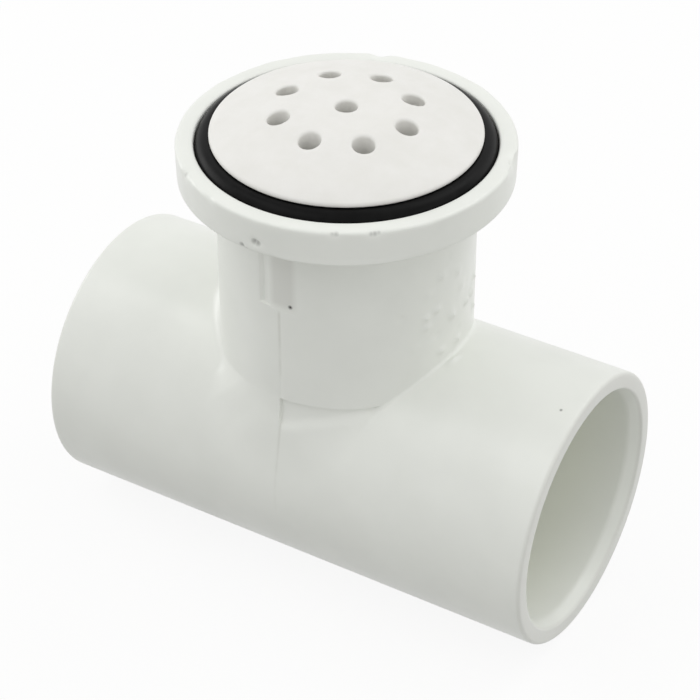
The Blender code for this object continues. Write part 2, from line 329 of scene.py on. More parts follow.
@dataclass(frozen=True)
class Thread:
    """A right-handed screw thread, raised on a plain turned zone that is at its root.

    Attributes:
        radius: The radius of the plain zone.
        rise: How far the ridge stands out of it, less than nought for a thread in a bore.
        low: The zone's lower end.
        high: Its upper end.
        start: The ridge's place on the +X side, as a share of the pitch.
        pitch: How far a turn moves the screw.
        crest: The ridge's width at its top, as a share of the pitch.
        foot: The ridge's width at its foot, as a share of the pitch.
        run_out: The length over which the ridge fades at the zone's ends.
        reach_margin: How near the radius a point lies to be in the zone.
    """

    radius: float
    rise: float
    low: float
    high: float
    start: float
    pitch: float = 3.0
    crest: float = 0.17
    foot: float = 0.45
    run_out: float = 1.2
    reach_margin: float = 0.02

    def cut_on(self, item: bpy.types.Object, material: bpy.types.Material) -> None:
        """Move the zone's points in or out along the thread's ridge.

        Args:
            item: The object that has the plain zone.
            material: What it is made of.
        """
        sizes = {
            "Radius": self.radius * MM,
            "Rise": self.rise * MM,
            "Low": self.low * MM,
            "High": self.high * MM,
            "Start": self.start,
            "Pitch": self.pitch * MM,
            "Half Crest": self.crest / 2,
            "Half Foot": self.foot / 2,
            "Run Out": self.run_out * MM,
        }
        form = NodeForm("screw_thread", sizes)
        given = form.given
        place = form.node("GeometryNodeInputPosition")
        split = add_node(form.tree, "ShaderNodeSeparateXYZ", {0: place}).outputs
        turn = form.node("ShaderNodeMath", {0: split["Y"], 1: split["X"]}, operation="ARCTAN2")
        share = form.node("ShaderNodeMath", {0: turn, 1: 2 * math.pi}, operation="DIVIDE")
        climb = form.node("ShaderNodeMath", {0: split["Z"], 1: given["Pitch"]}, operation="DIVIDE")
        past = form.node("ShaderNodeMath", {0: climb, 1: share}, operation="SUBTRACT")
        shifted = form.node("ShaderNodeMath", {0: past, 1: given["Start"]}, operation="SUBTRACT")
        away = form.node("ShaderNodeMath", {0: shifted, 1: 0.5}, operation="PINGPONG")
        ridge = form.node(
            "ShaderNodeMapRange",
            {"Value": away, "From Min": given["Half Foot"], "From Max": given["Half Crest"]},
        )
        above = form.node("ShaderNodeMath", {0: split["Z"], 1: given["Low"]}, operation="SUBTRACT")
        below = form.node("ShaderNodeMath", {0: given["High"], 1: split["Z"]}, operation="SUBTRACT")
        inside = form.node("ShaderNodeMath", {0: above, 1: below}, operation="MINIMUM")
        ends = form.node("ShaderNodeMapRange", {"Value": inside, "From Max": given["Run Out"]})
        raised = form.node("ShaderNodeMath", {0: ridge, 1: ends}, operation="MULTIPLY")
        lift = form.node("ShaderNodeMath", {0: raised, 1: given["Rise"]}, operation="MULTIPLY")
        flat = form.node("ShaderNodeCombineXYZ", {"X": split["X"], "Y": split["Y"]})
        outward = form.node("ShaderNodeVectorMath", {0: flat}, operation="NORMALIZE")
        offset = form.node("ShaderNodeVectorMath", {0: outward, "Scale": lift}, operation="SCALE")
        reach = add_node(form.tree, "ShaderNodeVectorMath", {0: flat}, operation="LENGTH").outputs["Value"]
        near = {0: reach, 1: given["Radius"], "Epsilon": self.reach_margin * MM}
        on_zone = form.node("FunctionNodeCompare", near, operation="EQUAL")
        moved = form.node(
            "GeometryNodeSetPosition",
            {"Geometry": given["Geometry"], "Selection": on_zone, "Offset": offset},
        )
        form.applied(item, moved, material)


@dataclass(frozen=True)
class Mark:
    """A small soft rise or hollow in a moulded surface.

    Attributes:
        place: Its middle, in the frame.
        reach: The distance at which it has faded to about a third.
        rise: How far it stands out of the surface, less than nought for a hollow.
    """

    place: tuple[float, float, float]
    reach: float
    rise: float


@dataclass(frozen=True)
class Places:
    """Points of the moulding, and what tells where on it they lie.

    Attributes:
        points: The points, in the frame.
        across: Their distances from the branch's axis.
        height: Their heights above the run's axis.
        over: Their distances from the run's axis.
        turn: Their angles round the branch from +X towards +Y, in degrees.
    """

    points: np.ndarray
    across: np.ndarray
    height: np.ndarray
    over: np.ndarray
    turn: np.ndarray

    @classmethod
    def of(cls, points: np.ndarray) -> "Places":
        """Measure the points.

        Args:
            points: The points, in the frame.

        Returns:
            The points with their measures.
        """
        height = points[:, 2] - AXIS_LEVEL
        across = np.hypot(points[:, 0], points[:, 1])
        turn = np.degrees(np.arctan2(points[:, 1], points[:, 0]))
        return cls(points, across, height, np.hypot(points[:, 1], height), turn)


@dataclass(frozen=True)
class Balls:
    """The balls whose arcs make the junction's hollow, one for each column.

    Attributes:
        centre: Their centres.
        radius: Their radii.
        to_wall: The directions from the centres to the arcs' upper ends, on the branch's wall.
        to_run: The directions from the centres to the arcs' feet, on the run.
    """

    centre: np.ndarray
    radius: np.ndarray
    to_wall: np.ndarray
    to_run: np.ndarray

    def rows(self, count: int) -> list[np.ndarray]:
        """Rows of points down the arcs.

        Args:
            count: How many rows follow the arcs' upper ends.

        Returns:
            The rows, without the upper ends.
        """
        opening = np.arccos(np.clip((self.to_wall * self.to_run).sum(axis=1), -1, 1))
        made = []
        for part in np.linspace(0, 1, count + 1)[1:]:
            near = np.sin((1 - part) * opening) / np.sin(opening)
            far = np.sin(part * opening) / np.sin(opening)
            swing = far[:, None] * self.to_run + near[:, None] * self.to_wall
            made.append(self.centre + self.radius[:, None] * swing)
        return made


@dataclass
class TeeBody:
    """The white moulding: run, sockets, branch, flange and threaded bore, in one skin.

    Its points lie on columns that go round the branch, and every zone down to the run's bore uses
    the same columns. Heights named in the fields are counted from the run's axis. The crease tables
    give heights by the angle, in degrees, from the branch's front or back.
    """

    # The run, its sockets and the passage up to the branch's bore.
    run_radius: float = AXIS_LEVEL
    run_edge: float = 0.6
    lip_rounding: float = 0.4
    socket_rounding: float = 2.5
    stop_rounding: float = 0.2
    run_bore: float = 13.3
    socket_mouth: float = 17.35
    socket_stop: float = 16.7
    socket_depth: float = 25.4
    lead_in: float = 18.2
    lead_in_depth: float = 1.9
    passage: float = 12.0
    # The branch, its bore and its flange.
    branch: float = BRANCH_RADIUS
    bore: float = 15.9
    bore_end: float = 30.54
    bore_mouth_chamfer: float = 0.5
    thread_depth: float = 1.1
    thread_start: float = 1.0
    thread_end: float = 0.4
    recess: float = 21.0
    recess_floor: float = 46.74
    recess_corner: float = 0.25
    flange_thickness: float = 5.3
    flange_draft: float = 0.1
    flange_edge: float = 0.4
    flange_root: float = 0.6
    rim_rounding: float = 0.35
    # The junction: where its hollow ends, its smallest fillets, and the half that stands back.
    ledge: float = 16.5
    flare: float = math.radians(4)
    crease: float = math.radians(8.5)
    wide_crease: Table = ((0, 10, 16, 21, 45), (13.6, 14.4, 15.9, 16.5, 16.3))
    tight_crease: Table = ((0, 12, 25, 37, 45), (13.6, 14.0, 14.7, 15.6, 16.1))
    out_again: Table = ((0, 12, 25, 37, 45), (12.9, 14.2, 15.2, 16.2, 16.6))
    fillet_wide: float = 2.4
    fillet_tight: float = 0.6
    fillet_loss: float = 1.0
    narrow_turns: tuple[float, float] = (80.0, 40.0)
    setback: float = 0.5
    setback_fade: float = 1.6
    setback_gap: float = 0.02
    setback_lead: float = 0.25
    setback_rise: float = 0.7
    tight_turn: float = math.radians(0.15)
    blend_ease: float = 0.5
    blend_margin: float = 0.35
    wall_ease: float = 0.1
    first_flare_step: float = 0.05
    # The mark of the tool's insert, and the small marks.
    mark_half_width: float = 3.0
    mark_bottom: float = 32.0
    mark_edge: float = 0.08
    mark_depths: Table = ((-9.4, -8.1, -3.5, 2.0, 9.4), (0.0, 0.38, 0.12, 0.05, 0.0))
    mark_seed: int = 7
    small_lumps: int = 18
    surface_margin: float = 0.05
    # The parting line with its ridge, the flange's uneven edge, and the bead of flash under it.
    parting_width: float = 0.22
    parting_depth: float = 0.035
    parting_ridge: float = 0.02
    ridge_offset: float = 0.45
    parting_fade: tuple[float, float] = (-5.0, 1.0)
    edge_wave: float = 0.02
    edge_mean: float = 1.5
    edge_zone: float = 0.5
    edge_fade: float = 0.3
    bead_rise: float = 0.1
    bead_height: float = 0.25
    bead_depth: float = 0.6
    bead_turns: tuple[float, float] = (-84.0, -38.0)
    bead_fades: tuple[float, float] = (6.0, 8.0)
    # The rectangles where the columns end, and how close columns and rows lie.
    patch_reach: float = 26.0
    patch_turn: float = 100.0
    inner_reach: float = 14.35
    bore_overlap: float = 0.4
    corner_turn: float = 36.0
    turn_step: float = 1.5
    bore_step: float = 0.3
    flange_step: float = 0.5
    end_step: float = 0.9
    lower_rows: int = 81
    passage_rows: int = 8
    wall_rows: int = 34
    flare_rows: int = 7
    blend_rows: int = 19
    foot_rows: int = 22
    # Read from the frame or worked out.
    quarter: np.ndarray = field(init=False)
    turn: np.ndarray = field(init=False)
    outward: np.ndarray = field(init=False)
    aside: np.ndarray = field(init=False)
    tight: np.ndarray = field(init=False)
    half_length: float = field(init=False)
    flange_radius: float = field(init=False)
    flange_face: float = field(init=False)

    def __post_init__(self) -> None:
        """Read the frame's sizes and set out the columns."""
        _, high = corners("tee_body")
        self.half_length = high[0]
        self.flange_radius = high[1]
        self.flange_face = high[2] - self.run_radius
        edge = self.mark_turn()
        keys = (0, 0.3, 0.7, 1.2, 2.0, edge - 0.06, edge + 0.06, self.corner_turn, 90)
        self.quarter = filled(keys, self.turn_step)
        rising = self.quarter[:-1]
        falling = self.quarter[:0:-1]
        degrees = np.concatenate((rising - 90, 90 - falling, rising + 90, 270 - falling))
        self.turn = np.radians(degrees)
        self.outward = np.stack((np.cos(self.turn), np.sin(self.turn), 0 * self.turn), axis=1)
        self.aside = np.degrees(np.arccos(np.clip(np.abs(self.outward[:, 1]), 0, 1)))
        self.tight = self.outward[:, 0] > math.sin(self.tight_turn)

    def mark_turn(self) -> float:
        """Half the angle over which the insert's mark reaches, in degrees."""
        return math.degrees(math.asin(self.mark_half_width / self.branch))

    def ring(self, radius: float, height: float | np.ndarray) -> np.ndarray:
        """A row round the branch's axis, at a height above the run's axis."""
        level = self.run_radius + height + 0 * self.turn
        return np.stack((radius * np.cos(self.turn), radius * np.sin(self.turn), level), axis=1)

    def on_run(self, radius: float, along: np.ndarray, over: np.ndarray) -> np.ndarray:
        """Points on a cylinder round the run's axis.

        Args:
            radius: The cylinder's radius.
            along: Places along the axis.
            over: Angles from the top towards the front, in radians.

        Returns:
            The points.
        """
        level = self.run_radius + radius * np.cos(over)
        return np.stack((along + 0 * over, -radius * np.sin(over) + 0 * along, level + 0 * along), axis=1)

    def frame_row(self, tube: float, reach: float) -> tuple[np.ndarray, np.ndarray]:
        """Where the columns end on the run: a rectangle in its unrolled plane.

        Args:
            tube: The radius that the columns come down on.
            reach: The rectangle's half length along the run.

        Returns:
            Places along the run, and angles over it.
        """
        corner = math.radians(self.corner_turn)
        growth = (reach - tube * corner) / corner**3
        over_limit = math.radians(self.patch_turn)
        along = np.empty_like(self.turn)
        over = np.empty_like(self.turn)
        for i, turn in enumerate(self.turn):
            front = math.remainder(turn + math.pi / 2, 2 * math.pi)
            back = math.remainder(turn - math.pi / 2, 2 * math.pi)
            side = math.pi / 2 - corner
            if abs(front) <= corner + NEAR:
                along[i] = tube * front + growth * front**3
                over[i] = over_limit
            elif abs(back) <= corner + NEAR:
                along[i] = -tube * back - growth * back**3
                over[i] = -over_limit
            elif math.cos(turn) > 0:
                along[i] = reach
                over[i] = -over_limit * math.remainder(turn, 2 * math.pi) / side
            else:
                along[i] = -reach
                over[i] = over_limit * math.remainder(turn - math.pi, 2 * math.pi) / side
        return along, over

    def patch(self, radius: float, start: np.ndarray, tube: float, reach: float,
              rows: int) -> list[np.ndarray]:
        """Rows over the run, from the row where the columns come down to the rectangle.

        Args:
            radius: The radius of the surface, round the run's axis.
            start: The row that the patch starts from.
            tube: The radius that the columns come down on.
            reach: The rectangle's half length.
            rows: How many rows follow the first.

        Returns:
            The rows after the first.
        """
        along, over = self.frame_row(tube, reach)
        first_over = np.arctan2(-start[:, 1], start[:, 2] - self.run_radius)
        made = []
        for share in np.linspace(0, 1, rows + 1)[1:]:
            places = start[:, 0] + (along - start[:, 0]) * share
            made.append(self.on_run(radius, places, first_over + (over - first_over) * share))
        return made

    def underside(self, radius: float, tube: float, reach: float) -> list[np.ndarray]:
        """Rows round the lower part of the run, between the rectangle's front and back."""
        along, over = self.frame_row(tube, reach)
        places = np.sort(along[over >= math.radians(self.patch_turn) - NEAR])
        return [self.on_run(radius, places, math.radians(a) + 0 * places) for a in self.lower_turns()]

    def lower_turns(self) -> np.ndarray:
        """The angles over the run of the rows on its lower part, in degrees."""
        return np.linspace(self.patch_turn, 360 - self.patch_turn, self.lower_rows)

    def run_loop(self) -> np.ndarray:
        """The angles of the points round the run's ends, in radians."""
        sides = self.patch_turn * (90 - self.quarter[self.quarter >= self.corner_turn - NEAR])
        sides = sides / (90 - self.corner_turn)
        upper = np.concatenate((-sides[:-1], sides[::-1]))
        return np.radians(np.concatenate((upper, self.lower_turns()[1:-1])))

    def hollow_levels(self) -> tuple[np.ndarray, np.ndarray]:
        """Where the junction's hollow ends on the branch, at every column.

        Returns:
            The heights of its upper end, and the heights at which a plain fillet would end.
        """
        wide, tight = (np.interp(self.aside, *crease) for crease in (self.wide_crease, self.tight_crease))
        level = np.where(self.tight, tight, wide)
        start, full = self.narrow_turns
        narrowing = self.fillet_loss * eased((start - self.aside) / (start - full))
        least = np.where(self.tight, self.fillet_tight, self.fillet_wide - narrowing)
        low = np.sqrt((self.run_radius + least) ** 2 - (self.branch + least) ** 2 * self.outward[:, 1] ** 2)
        return (low + level + np.hypot(low - level, self.blend_ease)) / 2, low

    def flared(self, height: np.ndarray) -> np.ndarray:
        """The radius of the branch's wall, which flares a little below the ledge."""
        return self.branch + math.tan(self.flare) * np.maximum(self.ledge - height, 0)

    def balls(self, top: np.ndarray, low: np.ndarray) -> Balls:
        """The balls that touch the run and meet the wall, at a soft crease, where the hollow ends.

        Args:
            top: The heights of the hollow's upper end.
            low: The heights at which a plain fillet would end, where there is no crease.

        Returns:
            The balls.
        """
        run, wall, share = self.run_radius, self.flared(top), self.outward[:, 1] ** 2
        lean = self.crease * eased((top - low) / 2)
        cosine, sine = np.cos(lean), np.sin(lean)
        near_run = run - share * wall * cosine - top * sine
        clear = share * wall**2 + top**2 - run**2
        ball = clear / (near_run + np.sqrt(near_run**2 + (1 - share) * cosine**2 * clear))
        hub = wall + ball * cosine
        across = hub * self.outward[:, 1]
        up = top + ball * sine
        to_run = -np.stack((0 * across, across, up), axis=1) / (run + ball)[:, None]
        to_wall = -cosine[:, None] * self.outward - np.stack((0 * up, 0 * up, sine), axis=1)
        centre = hub[:, None] * self.outward + np.stack((0 * up, 0 * up, run + up), axis=1)
        return Balls(centre, ball, to_wall, to_run)

    def stood_back(self, points: np.ndarray, top: np.ndarray) -> np.ndarray:
        """A row of the junction with the tight half's set-back taken off.

        Args:
            points: The row.
            top: The heights of the hollow's upper end.

        Returns:
            The row, moved inwards under the ledge on the side towards +X.
        """
        height = points[:, 2] - self.run_radius
        depth = self.setback * eased((self.ledge + self.setback_lead - top) / self.setback_rise)
        past_foot = height - np.interp(self.aside, *self.out_again) + self.setback_fade
        inset = depth * eased(past_foot / self.setback_fade)
        inset = np.where(self.tight & (height < self.ledge - self.setback_gap), inset, 0)
        return points - inset[:, None] * self.outward

    def blend(self) -> list[np.ndarray]:
        """The junction's rows, from the end of the branch's plain wall to the foot on the run.

        Across front and back the wall flares a little below a level line and ends in a soft crease,
        under which a long shallow arc runs down into the run. To the sides the arc shrinks to a
        fillet that rides up over the run. The mould half towards +X stands back under the line, so
        the line is a small ledge there, and comes out again just above its foot.

        Returns:
            The rows, the first of which lies on the branch's wall.
        """
        top, low = self.hollow_levels()
        begin = self.ledge + top + self.blend_margin
        begin = (begin + np.hypot(self.ledge - top - self.blend_margin, self.wall_ease)) / 2
        first_step = self.first_flare_step / (begin - top)
        rows = []
        for part in (first_step, *np.linspace(0, 1, self.flare_rows + 1)[1:]):
            height = begin + (top - begin) * part
            rows.append(self.flared(height)[:, None] * self.outward + self.ring(0, height))
        rows += self.balls(top, low).rows(self.blend_rows)
        return [self.ring(self.branch, begin), *(self.stood_back(row, top) for row in rows)]

    def flange_profile(self) -> list[tuple[float, float]]:
        """The profile from the passage's top up the bore, over the flange and down to its root."""
        face, back = self.flange_face, self.flange_face - self.flange_thickness
        bore_rows = filled((self.bore_end, self.recess_floor - self.bore_mouth_chamfer), self.bore_step)
        inner = [(self.passage, self.bore_end), *((self.bore, z) for z in bore_rows)]
        outer = rounded([
            (self.bore + self.bore_mouth_chamfer, self.recess_floor, 0),
            (self.recess, self.recess_floor, self.recess_corner),
            (self.recess, face, self.rim_rounding),
            (self.flange_radius, face, self.flange_edge),
            (self.flange_radius - self.flange_draft, back, self.flange_edge),
            (self.branch, back, self.flange_root),
            (self.branch, self.mark_bottom + self.mark_edge, 0),
        ])
        return inner + spaced(outer, self.flange_step)

    def end_profile(self) -> list[tuple[float, float]]:
        """The profile of one end as (along, radius), from the outside round to the socket's stop."""
        end = self.half_length
        stop = end - self.socket_depth
        profile = rounded([
            (self.patch_reach, self.run_radius, 0),
            (end, self.run_radius, self.run_edge),
            (end, self.lead_in, self.lip_rounding),
            (end - self.lead_in_depth, self.socket_mouth, self.socket_rounding),
            (stop, self.socket_stop, self.stop_rounding),
            (stop, self.run_bore, self.stop_rounding),
            (stop - self.bore_overlap, self.run_bore, 0),
        ], 6)
        return spaced(profile, self.end_step)

    def plain(self) -> bpy.types.Object:
        """The moulding's skin without its small marks."""
        skin = Skin()
        saddle = np.sqrt(self.run_bore**2 - (self.passage * np.sin(self.turn)) ** 2)
        inner_reach = self.inner_reach - self.bore_overlap
        shares = np.linspace(0, 1, self.passage_rows + 1)
        rising = [self.ring(self.passage, saddle + (self.bore_end - saddle) * s) for s in shares]
        patch = self.patch(self.run_bore, rising[0], self.passage, inner_reach, self.passage_rows)
        skin.sheet([*reversed(patch), *rising])
        profile = self.flange_profile()
        blend = self.blend()
        wall_end = blend[0][:, 2] - self.run_radius
        start = self.mark_bottom - self.mark_edge
        shares = np.linspace(0, 1, self.wall_rows)
        wall = [self.ring(self.branch, start + (wall_end - start) * s) for s in shares]
        foot = self.patch(self.run_radius, blend[-1], self.branch, self.patch_reach, self.foot_rows)
        skin.sheet([*(self.ring(r, z) for r, z in profile), *wall, *blend[1:], *foot])
        skin.sheet(self.underside(self.run_radius, self.branch, self.patch_reach), closed=False)
        skin.sheet(self.underside(self.run_bore, self.passage, inner_reach), closed=False)
        loop = self.run_loop()
        for side in (1, -1):
            skin.sheet([self.on_run(r, side * x + 0 * loop, loop) for x, r in self.end_profile()])
        return skin.made("tee_moulding")

    def marks(self) -> list[Mark]:
        """The dents, chips, lumps and pits of this moulding."""
        rim = self.flange_face - 0.1
        chips = ((-126.9, 0.7, -0.45), (-122.0, 0.5, -0.25), (-109.6, 0.6, -0.25), (-62.6, 0.6, -0.35),
                 (-49.8, 0.7, -0.35), (12.0, 0.9, -0.4), (17.0, 1.1, -1.0), (21.0, 0.8, -0.4),
                 (109.0, 1.0, -0.4), (-76.0, 0.5, 0.12), (-84.0, 0.6, -0.14))
        found = [Mark(around(a, rim, FLANGE_RADIUS), reach, rise) for a, reach, rise in chips]
        side = ((-90.2, 45.95, 0.5, -0.25), (-88.8, 45.85, 0.5, -0.25), (-89.5, 45.2, 0.5, 0.12),
                (-95.1, 44.65, 0.5, -0.25), (-92.6, 44.9, 0.5, 0.1))
        found += [Mark(around(a, z, FLANGE_RADIUS), reach, rise) for a, z, reach, rise in side]
        lumps = ((12.7, 27.4), (6.5, 27.4), (-16.5, 30.1), (-13.8, 35.3), (-2.3, 34.2), (-22.0, 29.5),
                 (-22.0, 27.9), (-6.1, 27.4), (16.5, 29.5), (-1.4, 22.4), (-13.1, 22.6), (17.0, 24.5))
        found += [Mark(around(a, z), 0.5, 0.42) for a, z in lumps]
        chance = random.Random(self.mark_seed)
        for _ in range(self.small_lumps):
            turn, height = chance.uniform(-38, 30), chance.uniform(23, 41)
            found.append(Mark(around(turn, height), chance.uniform(0.5, 0.8), chance.uniform(-0.22, 0.25)))
        for _ in range(self.small_lumps):
            turn, height = chance.uniform(60, 300), chance.uniform(20, 42)
            found.append(Mark(around(turn, height), chance.uniform(0.6, 1.3), chance.uniform(-0.03, 0.03)))
        for share in np.linspace(0, 1, 5):
            place = (18.75 + 0.5 * share, -3.6 + 2.0 * share, AXIS_LEVEL + 20.35)
            found.append(Mark(place, 0.4, 0.2))
        found.append(Mark((36.95, -4.67, AXIS_LEVEL + 20.06), 0.45, -0.10))
        found.append(Mark((37.55, -4.30, AXIS_LEVEL + 20.1), 0.5, 0.06))
        found.append(Mark(around(-83.9, 32.7), 0.4, -0.15))
        return found

    def outside(self, at: Places) -> np.ndarray:
        """Where the skin is the outside of run, branch or flange."""
        on_run = np.abs(at.over - self.run_radius) < self.surface_margin
        return on_run | ((at.over > self.run_radius - 0.1) & (at.across > self.branch - 0.8))

    def in_mark(self, at: Places) -> np.ndarray:
        """Where the insert's mark is, on the branch's front."""
        on_branch = np.abs(at.across - self.branch) < self.surface_margin
        return on_branch & (at.height > self.mark_bottom) & (np.abs(at.turn + 90) < self.mark_turn())

    def parting(self, at: Places) -> np.ndarray:
        """The rise of the parting line: a fine groove with a low ridge of flash beside it.

        Args:
            at: The skin's points.

        Returns:
            The rise at each point.
        """
        aside = at.points[:, 0] - PARTING
        groove = np.exp(-(aside / self.parting_width) ** 2)
        ridge = np.exp(-((aside - self.ridge_offset) / self.parting_width) ** 2)
        start, full = self.parting_fade
        shown = (at.height < self.mark_bottom - 0.5) * eased((at.height - start) / (full - start))
        return shown * (self.parting_ridge * ridge - self.parting_depth * groove)

    def edge_waves(self, at: Places) -> np.ndarray:
        """The rise of the flange's uneven upper edge, mostly less than nought.

        Args:
            at: The skin's points.

        Returns:
            The rise at each point.
        """
        turn = np.radians(at.turn)
        waves = np.sin(9 * turn + 1) + np.sin(17 * turn + 4) + np.sin(31 * turn)
        edge = eased((at.across - self.flange_radius + self.edge_zone) / self.edge_fade)
        edge *= eased((at.height - self.flange_face + self.edge_zone) / self.edge_fade)
        return -self.edge_wave * edge * (self.edge_mean + waves)

    def bead(self, at: Places) -> np.ndarray:
        """The rise of the bead of flash along the flange's lower edge, right of its front.

        Args:
            at: The skin's points.

        Returns:
            The rise at each point.
        """
        level = at.height - self.flange_face + self.flange_thickness - self.bead_height
        on_edge = at.across > self.flange_radius - self.bead_depth
        start, end = self.bead_turns
        fade_in, fade_out = self.bead_fades
        shown = on_edge * eased((at.turn - start) / fade_in) * eased((end - at.turn) / fade_out)
        return self.bead_rise * shown * np.exp(-((level / self.bead_height) ** 2))

    def relief(self, item: bpy.types.Object) -> None:
        """Work the insert's mark, the parting line, the flange's edge and the small marks into the skin.

        Args:
            item: The moulding, still without its thread.
        """
        mesh = item.data
        at = Places.of(points_of(mesh))
        flat = np.empty(len(mesh.vertices) * 3)
        mesh.vertex_normals.foreach_get("vector", flat)
        normals = flat.reshape(-1, 3)
        outside = self.outside(at)
        depth = np.interp(at.turn + 90, *self.mark_depths)
        rise = np.where(self.in_mark(at), -depth, outside * self.parting(at))
        rise += self.edge_waves(at) + self.bead(at)
        for mark in self.marks():
            away = ((at.points - np.array(mark.place)) ** 2).sum(axis=1) / mark.reach**2
            rise += mark.rise * np.exp(-away) * outside
        low, high = corners("tee_body")
        moved = np.clip(at.points + rise[:, None] * normals, low, high) * MM
        mesh.vertices.foreach_set("co", moved.ravel())
        mesh.update()

    def build(self) -> bpy.types.Object:
        """Make the moulding, cut its thread and hand it to the frame."""
        item = self.plain()
        self.relief(item)
        item.data.shade_smooth()
        item.data.set_sharp_from_angle(angle=SHARP_ANGLE)
        material = MouldedPvc().material()
        thread = Thread(
            radius=self.bore,
            rise=-self.thread_depth,
            low=self.run_radius + self.bore_end + self.thread_start,
            high=self.run_radius + self.recess_floor - self.bore_mouth_chamfer - self.thread_end,
            start=0.5,
        )
        thread.cut_on(item, material)
        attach(item, Body.TEE.value)
        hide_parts("tee_body")
        return item


@dataclass
class RubberRing:
    """The round rubber ring that fills the flange's recess, between the cap's neck and its wall."""

    section: float = 1.74
    inner_radius: float = 17.44
    turn_steps: int = 220
    section_steps: int = 28

    def build(self) -> bpy.types.Object:
        """Sweep the ring's section round its circle and hand it to the frame."""
        low, high = corners("o_ring")
        sizes = {
            "Centre Radius": (self.inner_radius + self.section) * MM,
            "Section Radius": self.section * MM,
            "Height": (low[2] + high[2]) / 2 * MM,
            "Turn Steps": self.turn_steps,
            "Section Steps": self.section_steps,
        }
        form = NodeForm("swept_ring", sizes)
        given = form.given
        path = form.node(
            "GeometryNodeCurvePrimitiveCircle",
            {"Resolution": given["Turn Steps"], "Radius": given["Centre Radius"]},
        )
        outline = form.node(
            "GeometryNodeCurvePrimitiveCircle",
            {"Resolution": given["Section Steps"], "Radius": given["Section Radius"]},
        )
        swept = form.node("GeometryNodeCurveToMesh", {"Curve": path, "Profile Curve": outline})
        height = form.node("ShaderNodeCombineXYZ", {"Z": given["Height"]})
        placed = form.node("GeometryNodeSetPosition", {"Geometry": swept, "Offset": height})
        soft = form.node("GeometryNodeSetShadeSmooth", {"Geometry": placed})
        item = bpy.data.objects.new("sealing_ring", bpy.data.meshes.new("sealing_ring"))
        bpy.context.scene.collection.objects.link(item)
        form.applied(item, soft, SatinRubber().material())
        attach(item, Body.RING.value)
        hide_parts("o_ring")
        return item


